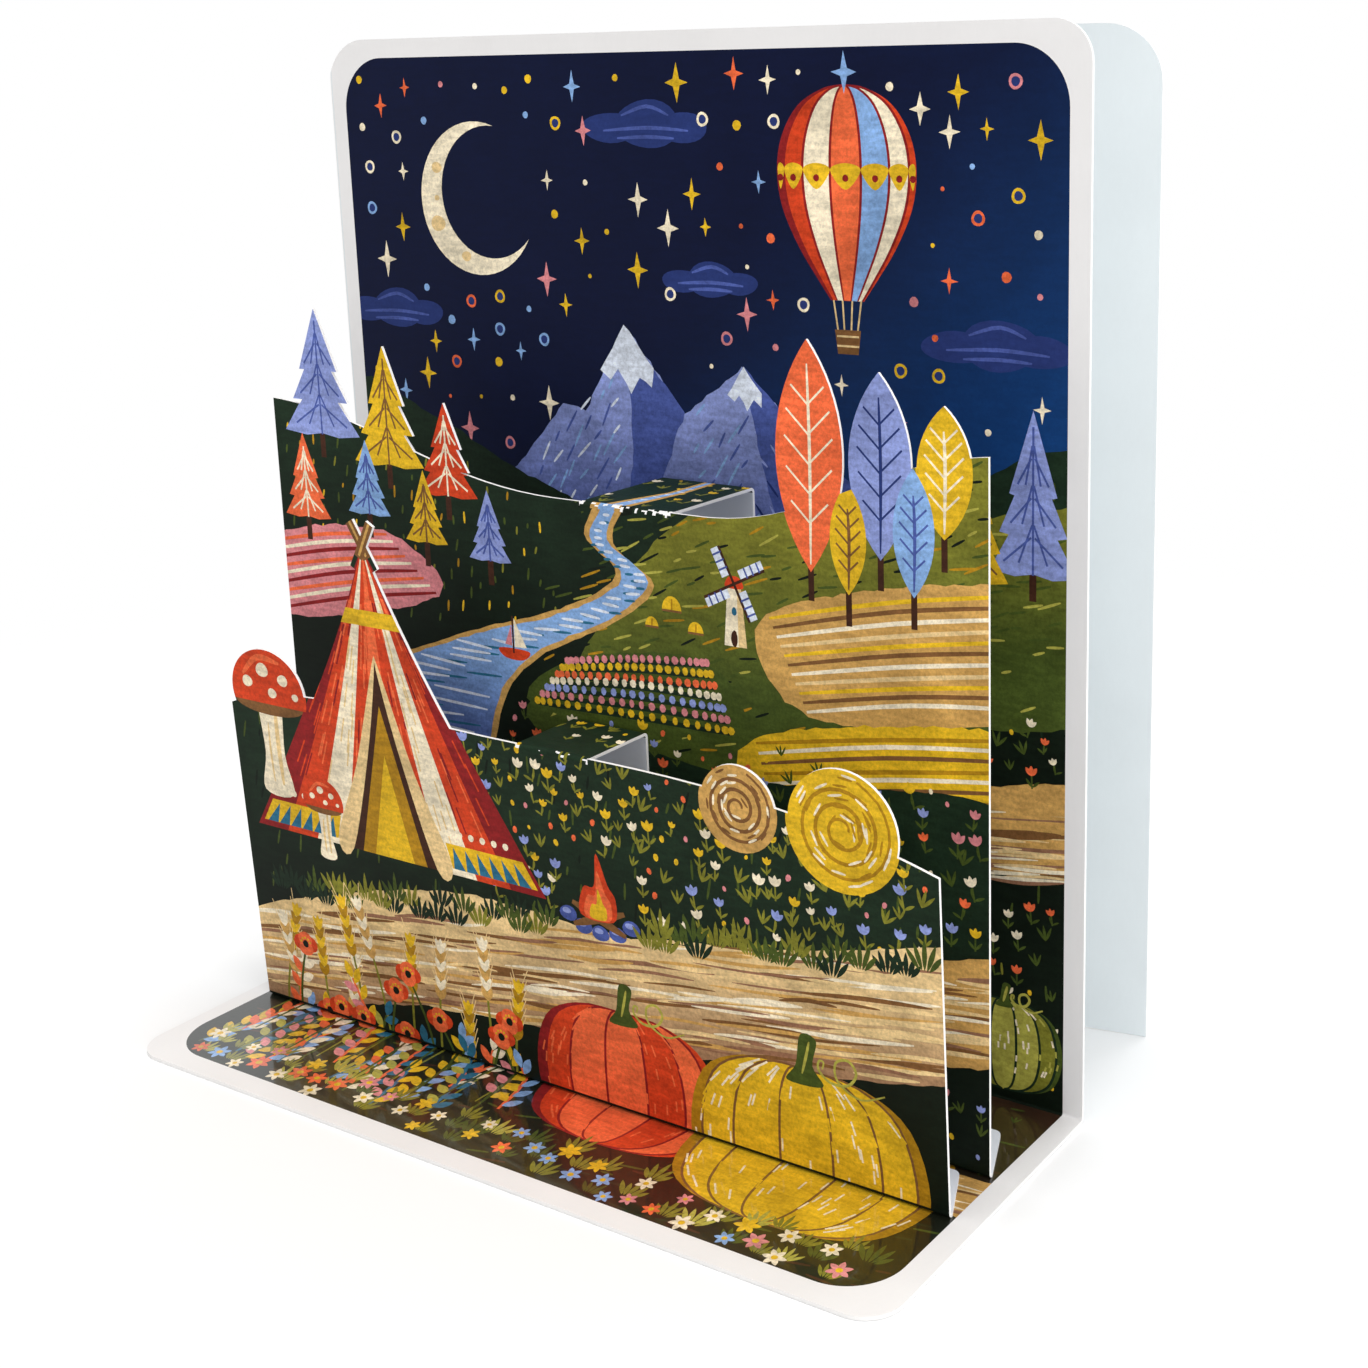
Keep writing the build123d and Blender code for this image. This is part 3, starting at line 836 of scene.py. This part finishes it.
def strip_picture(stream):
    """Dark ground with a few flowers, for a bridging strip, and the stream that runs on over one."""
    p = []
    flowers(p, scatter(26, (-10, 1), (16, 24), 2.8), 0.9, "gold cream rose gold", "olive")
    if stream:
        shape(p, "straw", [(2.0, 0), (6.9, 0), (8.6, 12), (8.4, 24), (6.2, 24), (5.8, 12)])
        shape(p, "sky", [(3.1, 0), (5.7, 0), (7.7, 12), (7.7, 24), (6.9, 24), (6.6, 12)])
        for i in range(7):
            dash(p, "snow", 4.6 + 0.23 * 2.4 * min(i, 5), 1.2 + 2.4 * i, 1.5, 0.1, 0.5)
    return p


def printed_field(low, high, top):
    """Outline of the printed field: rounded at its free end, straight on past the fold.

    On the base the print lies a little askew from the fold to the front.
    """
    r = FIELD_RADIUS
    left, right = PRINTED_SIDES
    if top:
        ends = arc(right - r, high - r, r, 0, 90) + arc(left + r, high - r, r, 90, 180)
        return [(left, low), (right, low)] + ends
    ends = arc(left + r, low + r, r, 180, 270) + arc(right - r, low + r, r, 270, 360)
    return [(x - PRINT_SKEW * (FRONT_OFFSET - y), y) for x, y in [(right, high), (left, high)] + ends]


def ordered_border(faces):
    """The corners of a flat group of faces, in order round its edge."""
    region = set(faces)
    following = {}
    for face in faces:
        for loop in face.loops:
            if loop.link_loop_radial_next.face not in region:
                following[loop.vert] = loop.link_loop_next.vert
    border = [next(iter(following))]
    while following[border[-1]] != border[0]:
        border.append(following[border[-1]])
    return border


def wind(outline):
    """The outline turned anticlockwise."""
    area = sum(a[0] * b[1] - b[0] * a[1] for a, b in zip(outline, outline[1:] + outline[:1]))
    return outline if area > 0 else outline[::-1]


def covered(points, outline):
    """Which of the points an outline goes round."""
    low, high = numpy.min(outline, axis=0), numpy.max(outline, axis=0)
    near = numpy.nonzero(((points > low) & (points < high)).all(axis=1))[0]
    if not len(near):
        return near
    x, y = points[near].T
    turns = numpy.zeros(len(near), int)
    for (ax, ay), (bx, by) in zip(outline, outline[1:] + outline[:1]):
        side = (bx - ax) * (y - ay) - (by - ay) * (x - ax)
        turns += (ay <= y) & (by > y) & (side > 0)
        turns -= (ay > y) & (by <= y) & (side < 0)
    return near[turns != 0]


def laid_last(points, layers):
    """For each point, the number of the layer of ink that was laid down last over it."""
    top = numpy.zeros(len(points), int)
    for i, (_, outline) in enumerate(layers[1:], 1):
        top[covered(points, outline)] = i
    return top


# Places of the materials in a sheet's list
PRINT_SLOT = 0
CARD_SLOT = 1
EDGE_SLOT = 2
BOARD_SLOT = 3
GLOSS_SLOT = 4


def print_on(sheet, faces, to_flat, to_sheet, ground, picture, field=None, slot=PRINT_SLOT):
    """Cuts a flat face of a sheet along a picture's outlines, and inks each piece of it.

    The ground ink covers the face, or the given field with plain board round it. A grid of
    points is added for the inks that shade across the face.
    """
    border = ordered_border(faces)
    layers = [("board" if field else ground, [to_flat(v.co) for v in border])]
    if field:
        layers.append((ground, wind(field)))
    layers += [(ink, wind(outline)) for ink, outline in picture]
    points = []
    rings = []
    for _, outline in layers:
        rings.append(list(range(len(points), len(points) + len(outline))))
        points.extend(Vector(p) for p in outline)
    low = [min(p[k] for p in layers[0][1]) for k in (0, 1)]
    high = [max(p[k] for p in layers[0][1]) for k in (0, 1)]
    # The small offsets keep the grid's points off the outlines' own
    for i in range(1, int((high[0] - low[0]) / SHADING_GRID)):
        for j in range(1, int((high[1] - low[1]) / SHADING_GRID)):
            points.append(Vector((low[0] + i * SHADING_GRID + 0.013, low[1] + j * SHADING_GRID + 0.017)))
    places, _, pieces, sources, _, owners = delaunay_2d_cdt(points, [], rings, 0, PICTURE_JOIN, True)
    kept = [piece for piece, owner in zip(pieces, owners) if 0 in owner]
    found = {given: i for i, source in enumerate(sources) for given in source}
    steps = {(piece[k], piece[(k + 1) % 3]) for piece in kept for k in range(3)}
    edge_step = {a: b for a, b in steps if (b, a) not in steps}

    # Outlines that run off the face also split the walls round it, so the sheet stays closed
    bmesh.ops.delete(sheet, geom=faces, context="FACES")
    corner = {found[i]: vert for i, vert in enumerate(border)}
    for i, vert in enumerate(border):
        end = (i + 1) % len(border)
        k = edge_step[found[i]]
        while k != found[end]:
            edge = sheet.edges.get((vert, border[end]))
            _, vert = bmesh.utils.edge_split(edge, vert, 0.5)
            vert.co = to_sheet(*places[k])
            corner[k] = vert
            k = edge_step[k]
    # Each piece takes the ink that was laid down last over its middle
    centres = numpy.array([sum((places[k] for k in piece), Vector((0, 0))) / 3 for piece in kept])
    top = laid_last(centres, layers)
    if field:
        bare = numpy.ones(len(kept), bool)
        bare[covered(centres, field)] = False
        top[bare] = 0
    ink_layer = sheet.loops.layers.float_color["ink"]
    for piece, layer in zip(kept, top):
        for k in piece:
            if k not in corner:
                corner[k] = sheet.verts.new(to_sheet(*places[k]))
        face = sheet.faces.new([corner[k] for k in piece])
        ink = layers[layer][0]
        face.material_index = BOARD_SLOT if ink == "board" else slot
        for loop, k in zip(face.loops, piece):
            loop[ink_layer] = ink_at(ink, *places[k])


def ink_plain(sheet, faces, ink):
    """One ink over whole faces, as on the bends, where dark ink is painted shade in the crease."""
    layer = sheet.loops.layers.float_color["ink"]
    for face in faces:
        face.material_index = PRINT_SLOT
        for loop in face.loops:
            loop[layer] = (*PAINTS[ink], 1.0)


def centre(face):
    """The middle of a face, in millimetres."""
    return face.calc_center_median() / MM


def cut_across(sheet, faces, x):
    """Cuts faces along a plane across the card, at a place in metres."""
    parts = dict.fromkeys(part for f in faces for part in (f, *f.edges, *f.verts))
    bmesh.ops.bisect_plane(sheet, geom=list(parts), dist=CUT_JOIN, plane_co=(x, 0, 0), plane_no=(1, 0, 0))


def print_bend(sheet, strip, ground, picture, height, wear):
    """Carries a picture over the bend into a strip, with chips of bare card along the crease."""
    chips = random.Random(5)
    sides = [v.co.x for f in strip for v in f.verts]
    level = strip[0].verts[0].co.z
    columns = [min(sides)]
    while columns[-1] < max(sides):
        columns.append(columns[-1] + chips.uniform(*CHIP_WIDTHS) * MM)

    def on_bend():
        """The rounded faces at both ends of the strip, on its printed side."""
        return [f for f in sheet.faces if BENT < f.normal.z < FLAT and abs(f.normal.x) < SQUARE
                and min(sides) < f.calc_center_median().x < max(sides)
                and f.calc_center_median().z > level - BEND_DEPTH * MM]

    for column in columns[1:-1]:
        cut_across(sheet, on_bend(), column)
    layers = [(ground, None), *picture]
    middles = [(a + b) / 2 / MM for a, b in zip(columns, columns[1:])]
    top = laid_last(numpy.array([(x, height) for x in middles]), layers)
    # Chips gather towards the strip's right end, and the corner there is bare
    worn = []
    for i in range(len(middles)):
        share = (i + 0.5) / len(middles)
        middle, chance = chips.uniform(*CHIP_MIDDLES), chips.random()
        reach = chips.uniform(CHIP_REACH[0], CHIP_REACH[1] * wear)
        if share > CORNER_SHARE:
            reach = CORNER_REACH
        elif chance > wear * (CHIP_CHANCE + CHIP_GATHER * share):
            reach = 0
        worn.append((middle, reach))
    layer = sheet.loops.layers.float_color["ink"]
    for face in on_bend():
        x = centre(face).x
        column = min(range(len(middles)), key=lambda i: abs(middles[i] - x))
        turn = degrees(atan2(face.normal.z, -face.normal.y))
        middle, reach = worn[column]
        face.material_index = EDGE_SLOT if abs(turn - middle) < reach else PRINT_SLOT
        ink = layers[top[column]][0] if turn < 90 else "pine"
        for loop in face.loops:
            loop[layer] = ink_at(ink, x, height)


def facing(sheet, normal, point):
    """The faces of a sheet that lie in one plane."""
    normal = Vector(normal)
    point = Vector(point)
    return [f for f in sheet.faces
            if f.normal.dot(normal) > SAME_WAY
            and abs((f.calc_center_median() - point).dot(normal)) < SAME_PLANE]


def sheet_from(node):
    """A bmesh of a CAD solid, with its corners joined and a layer for ink."""
    sheet = bmesh.new()
    sheet.from_mesh(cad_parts[node].data)
    bmesh.ops.remove_doubles(sheet, verts=sheet.verts[:], dist=SHEET_JOIN)
    for layer in list(sheet.loops.layers.uv.values()):
        sheet.loops.layers.uv.remove(layer)
    sheet.loops.layers.float_color.new("ink")
    sheet.normal_update()
    for face in sheet.faces:
        face.smooth = False
        face.material_index = CARD_SLOT
    return sheet


def new_object(name, data):
    """A new object in the scene."""
    made = bpy.data.objects.new(name, data)
    bpy.context.scene.collection.objects.link(made)
    return made


def finish_sheet(sheet, name, node, materials):
    """Makes the object of a sheet, which stands for its CAD solid."""
    mesh = bpy.data.meshes.new(name)
    sheet.to_mesh(mesh)
    sheet.free()
    for material in materials:
        mesh.materials.append(material)
    piece = new_object(name, mesh)
    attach(piece, "root")
    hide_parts(node)


def add_node(owner, kind, settings=(), links=()):
    """Adds a node with its settings, and links its inputs from (node, output) pairs."""
    node = owner.node_tree.nodes.new(kind)
    for key, value in dict(settings).items():
        if isinstance(key, int) or key in node.inputs:
            node.inputs[key].default_value = value
        else:
            setattr(node, key, value)
    for key, (source, output) in dict(links).items():
        owner.node_tree.links.new(source.outputs[output], node.inputs[key])
    return node


def empty_nodes(owner):
    """A material or world, given an empty node tree."""
    owner.use_nodes = True
    owner.node_tree.nodes.clear()
    return owner


def new_material(name):
    """An empty material, and the output that gives places on the object."""
    m = empty_nodes(bpy.data.materials.new(name))
    return m, (add_node(m, "ShaderNodeTexCoord"), "Object")


def noise(m, size, detail, roughness, place):
    """Noise with grains of a size in millimetres."""
    settings = {"Scale": 1 / (size * MM), "Detail": detail, "Roughness": roughness}
    return add_node(m, "ShaderNodeTexNoise", settings, {"Vector": place})


def stretched(m, source, levels, results):
    """The middle levels of a noise, spread over a range of results."""
    settings = dict(zip(("From Min", "From Max", "To Min", "To Max"), (*levels, *results)))
    return add_node(m, "ShaderNodeMapRange", settings, {"Value": (source, "Fac")})


def multiply_add(m, first, second, addend):
    """The product of two outputs, plus a number."""
    return add_node(m, "ShaderNodeMath", {"operation": "MULTIPLY_ADD", 2: addend}, {0: first, 1: second})


def relief(m, source, strength, depth):
    """A fine relief from a noise, its depth in millimetres."""
    settings = {"Strength": strength, "Distance": depth * MM}
    return add_node(m, "ShaderNodeBump", settings, {"Height": (source, "Fac")})


def surface(m, settings, links):
    """The material, ended with its shader."""
    shader = add_node(m, "ShaderNodeBsdfPrincipled", settings, links)
    add_node(m, "ShaderNodeOutputMaterial", {}, {"Surface": (shader, "BSDF")})
    return m


def coated_print(name, roughness, specular, coat):
    """Offset print on coated board: opaque gouache and crayon inks under a thin clear varnish.

    The crayon's tooth is about 0.3 mm on paper. It is drawn at 0.6 mm, so that it shows.
    """
    m, place = new_material(name)
    ink = add_node(m, "ShaderNodeAttribute", {"attribute_name": "ink"})
    slant = add_node(m, "ShaderNodeMapping", {"Rotation": (0.0, -0.35, 0.0), "Scale": (0.22, 1.0, 1.0)},
                     {"Vector": place})
    mottle = noise(m, 11, 4.0, 0.6, place)
    tooth = noise(m, 0.6, 3.0, 0.7, place)
    crayon = noise(m, 0.9, 2.0, 0.55, (slant, "Vector"))
    wide = stretched(m, mottle, (0.3, 0.7), (0.78, 1.2))
    fine = stretched(m, tooth, (0.32, 0.62), (0.76, 1.1))
    drawn = stretched(m, crayon, (0.36, 0.64), (0.86, 1.12))
    sheen = stretched(m, tooth, (0.3, 0.7), (roughness - 0.06, roughness + 0.06))
    both = multiply_add(m, (wide, 0), (fine, 0), 0.0)
    change = multiply_add(m, (both, 0), (drawn, 0), -1.0)
    amount = multiply_add(m, (change, 0), (ink, "Alpha"), 1.0)
    tone = add_node(m, "ShaderNodeVectorMath", {"operation": "SCALE"},
                    {0: (ink, "Color"), "Scale": (amount, 0)})
    bump = relief(m, tooth, 0.06, 0.05)
    varnish = {"IOR": 1.5, "Specular IOR Level": specular, "Coat Weight": coat, "Coat Roughness": 0.06}
    return surface(m, varnish, {"Base Color": (tone, "Vector"), "Roughness": (sheen, 0),
                                "Normal": (bump, "Normal")})


def white_card(name, hex_colour, roughness, specular):
    """Unprinted board: clean and faintly cloudy, with a short fibre that shows only close by."""
    m, place = new_material(name)
    along = add_node(m, "ShaderNodeMapping", {"Scale": (1.0, 1.0, 0.35)}, {"Vector": place})
    fibre = noise(m, 0.6, 4.0, 0.7, (along, "Vector"))
    cloudy = noise(m, 16, 2.0, 0.5, place)
    blend = add_node(m, "ShaderNodeMath", {"operation": "MULTIPLY_ADD", 1: 0.4},
                     {0: (fibre, "Fac"), 2: (cloudy, "Fac")})
    light = linear(hex_colour)
    ramp = add_node(m, "ShaderNodeValToRGB", {}, {"Fac": (blend, 0)})
    tones = ((0.45, [c * 0.95 for c in light]), (0.95, light))
    for element, (position, tone) in zip(ramp.color_ramp.elements, tones):
        element.position = position
        element.color = (*tone, 1.0)
    bump = relief(m, fibre, 0.1, 0.04)
    return surface(m, {"IOR": 1.45, "Roughness": roughness, "Specular IOR Level": specular},
                   {"Base Color": (ramp, "Color"), "Normal": (bump, "Normal")})


def fold_faces(sheet):
    """The faces of the bend between base and back, on the printed side."""
    return [f for f in sheet.faces
            if f.normal.z > BENT and f.normal.y < -BENT and abs(f.normal.x) < SQUARE]


def make_cover(materials):
    """The cover: sky on the back panel, ground on the base, painted shade on the fold, plain card elsewhere.
    """
    sheet = sheet_from("card_cover")
    # The rear panel's outside is coated, and the faces round the board's edge are cut
    for face in sheet.faces:
        normal = face.normal
        middle = centre(face)
        if normal.y > FACING and middle.y > FOLD_Y + 1:
            face.material_index = BOARD_SLOT
        elif normal.z > -FACING and abs(normal.y) < FACING or (normal.y < -FACING and middle.z < 2):
            face.material_index = EDGE_SLOT
    for side in PRINTED_SIDES:
        cut_across(sheet, fold_faces(sheet), side * MM)
    for face in fold_faces(sheet):
        face.material_index = BOARD_SLOT
    left, right = PRINTED_SIDES
    # The printed width of the fold is inked dark all over: painted shade in the crease between base and back
    ink_plain(sheet, [f for f in fold_faces(sheet) if left < centre(f).x < right], "deep")
    back = facing(sheet, (0, -1, 0), (0, FOLD_Y * MM, 0))
    print_on(sheet, back, lambda co: (co.x / MM, co.z / MM), lambda x, y: Vector((x, FOLD_Y, y)) * MM,
             "night", back_picture(), printed_field(-PAST_FOLD, CARD_TOP - TOP_BORDER, True))
    base = facing(sheet, (0, 0, 1), (0, 0, BOARD * MM))
    field = printed_field(FRONT_OFFSET - BASE_DEPTH + FRONT_BORDER, FRONT_OFFSET + PAST_FOLD, False)
    print_on(sheet, base, lambda co: (co.x / MM, co.y / MM - FRONT_Y),
             lambda x, y: Vector((x, FRONT_Y + y, BOARD)) * MM, "ground", base_picture(), field, GLOSS_SLOT)
    finish_sheet(sheet, "printed_cover", "card_cover", materials)


def make_layer(node, name, place_y, lean, ground, picture, stream, wear, materials):
    """A die-cut layer: picture on face and strip, plain card behind, white cut edges, painted shade at its
    foot.
    """
    sheet = sheet_from(node)
    up = Vector((0, -sin(lean), cos(lean)))
    foot = Vector((0, place_y, BOARD)) * MM
    front = Vector((0, -cos(lean), -sin(lean)))
    for face in sheet.faces:
        near = centre(face).y < place_y + UPRIGHT_DEPTH
        if abs(face.normal.x) > SIDEWAYS or (near and abs(face.normal.dot(front)) < EDGE_ON):
            face.material_index = EDGE_SLOT
    # The bends are inked dark: at the foot this is painted shade in the crease against the base; print_bend
    # prints over the crest's bends
    bends = [f for f in sheet.faces
             if f.normal.y < -PAST_LEAN and abs(f.normal.z) > PAST_LEAN and abs(f.normal.x) < SQUARE]
    ink_plain(sheet, bends, "deep")
    crest = max(centre(f).z for f in bends)
    strip = [f for f in sheet.faces
             if f.normal.z > FLAT and centre(f).y > place_y + UPRIGHT_DEPTH and centre(f).z > crest]
    level = strip[0].calc_center_median().z
    crease = (level / MM - BOARD) / cos(lean) - BELOW_CREASE
    print_bend(sheet, strip, ground, picture, crease, wear)
    print_on(sheet, strip, lambda co: (co.x / MM, co.y / MM - place_y),
             lambda x, y: Vector((x * MM, (place_y + y) * MM, level)), "pine", strip_picture(stream))
    printed = facing(sheet, front, foot)
    print_on(sheet, printed, lambda co: (co.x / MM, (co - foot).dot(up) / MM),
             lambda x, y: foot + up * (y * MM) + Vector((x * MM, 0, 0)), ground, picture)
    finish_sheet(sheet, name, node, materials)


print_satin = coated_print("satin_coated_print", 0.5, 0.07, 0.0)
print_gloss = coated_print("gloss_coated_print", 0.4, 0.3, 1.0)
card_plain = white_card("uncoated_white_card", "#eef2fa", 0.75, 0.3)
card_inside = white_card("uncoated_pale_blue_card", "#e6ecee", 0.8, 0.3)
board_white = white_card("coated_white_board", INKS["board"], 0.45, 0.3)
cut_edge = white_card("cut_card_edge", "#f7f5f3", 0.85, 0.2)

make_cover([print_satin, card_inside, cut_edge, board_white, print_gloss])
make_layer("middle_layer", "printed_middle_layer", MIDDLE_Y, 0.0, "fir_hill", middle_picture(), True, 0.75,
           [print_satin, card_plain, cut_edge])
make_layer("front_layer", "printed_front_layer", FRONT_Y, FRONT_LEAN, "meadow", front_picture(), False, 0.35,
           [print_satin, card_plain, cut_edge])


def seen_rays(owner):
    """One for rays to the eye and in reflections, nought for the rest of the light."""
    path = add_node(owner, "ShaderNodeLightPath")
    return add_node(owner, "ShaderNodeMath", {"operation": "MAXIMUM"},
                    {0: (path, "Is Camera Ray"), 1: (path, "Is Glossy Ray")})


def make_floor():
    """A pale floor that fades to the white of the backdrop."""
    sides = ((-1, -1), (1, -1), (1, 1), (-1, 1))
    corners = [(x * FLOOR_HALF, y * FLOOR_HALF, -FLOOR_DROP) for x, y in sides]
    mesh = bpy.data.meshes.new("floor")
    mesh.from_pydata(corners, [], [(0, 1, 2, 3)])
    plane = new_object("floor", mesh)
    m, place = new_material("pale_floor")
    distance = add_node(m, "ShaderNodeVectorMath", {"operation": "LENGTH"}, {0: place})
    near, far = FLOOR_FADE
    fade = add_node(m, "ShaderNodeMapRange",
                    {"From Min": near, "From Max": far, "interpolation_type": "SMOOTHSTEP"},
                    {"Value": (distance, "Value")})
    share = multiply_add(m, (seen_rays(m), 0), (fade, 0), 0.0)
    paper = add_node(m, "ShaderNodeBsdfDiffuse", {"Color": (FLOOR_TONE, FLOOR_TONE, FLOOR_TONE, 1.0)})
    white = add_node(m, "ShaderNodeEmission", {"Color": (1.0, 1.0, 1.0, 1.0), "Strength": 1.0})
    mixed = add_node(m, "ShaderNodeMixShader", {},
                     {0: (share, 0), 1: (paper, "BSDF"), 2: (white, "Emission")})
    add_node(m, "ShaderNodeOutputMaterial", {}, {"Surface": (mixed, "Shader")})
    mesh.materials.append(m)


def make_lamp(name, place, size, power, colour):
    """A soft square lamp, turned to the card."""
    data = bpy.data.lights.new(name, "AREA")
    data.shape = "SQUARE"
    data.size = size
    data.energy = power
    data.color = colour
    lamp = new_object(name, data)
    lamp.location = place
    lamp.rotation_mode = "QUATERNION"
    lamp.rotation_quaternion = (LAMP_AIM - Vector(place)).to_track_quat("-Z", "Y")


def make_world():
    """White surroundings: full white to the eye and in reflections, softer as light."""
    world = empty_nodes(bpy.data.worlds.new("studio"))
    bpy.context.scene.world = world
    strength = add_node(world, "ShaderNodeMapRange", {"To Min": SURROUNDINGS, "To Max": 1.0},
                        {"Value": (seen_rays(world), 0)})
    sky = add_node(world, "ShaderNodeBackground", {"Color": (1.0, 1.0, 1.0, 1.0)},
                   {"Strength": (strength, 0)})
    add_node(world, "ShaderNodeOutputWorld", {}, {"Surface": (sky, "Background")})


def make_camera():
    """The photograph's view: from the card's right front, a little above."""
    azimuth, elevation, roll = radians(31.6), radians(12.7), radians(-0.75)
    look = Vector((-sin(azimuth) * cos(elevation), cos(azimuth) * cos(elevation),
                   -sin(elevation)))
    data = bpy.data.cameras.new("camera")
    data.sensor_width = 36.0
    data.lens = 51.05
    data.shift_x = -0.15
    data.shift_y = -0.12
    data.clip_start = 0.01
    camera = new_object("camera", data)
    camera.location = Vector((194.7, -235.7, 159.5)) * MM
    camera.rotation_mode = "QUATERNION"
    camera.rotation_quaternion = look.to_track_quat("-Z", "Y") @ Quaternion((0, 0, 1), roll)
    bpy.context.scene.camera = camera


make_floor()
make_world()
make_lamp("key", (0.0, -0.05, 1.2), 0.9, 8.8, (1.0, 0.995, 0.985))
make_lamp("fill", (0.9, -0.3, 0.2), 0.6, 4.0, (0.97, 0.985, 1.0))
make_lamp("back", (0.2, 1.0, 0.6), 0.6, 3.2, (1.0, 1.0, 1.0))
make_camera()
bpy.context.scene.view_settings.view_transform = "Standard"
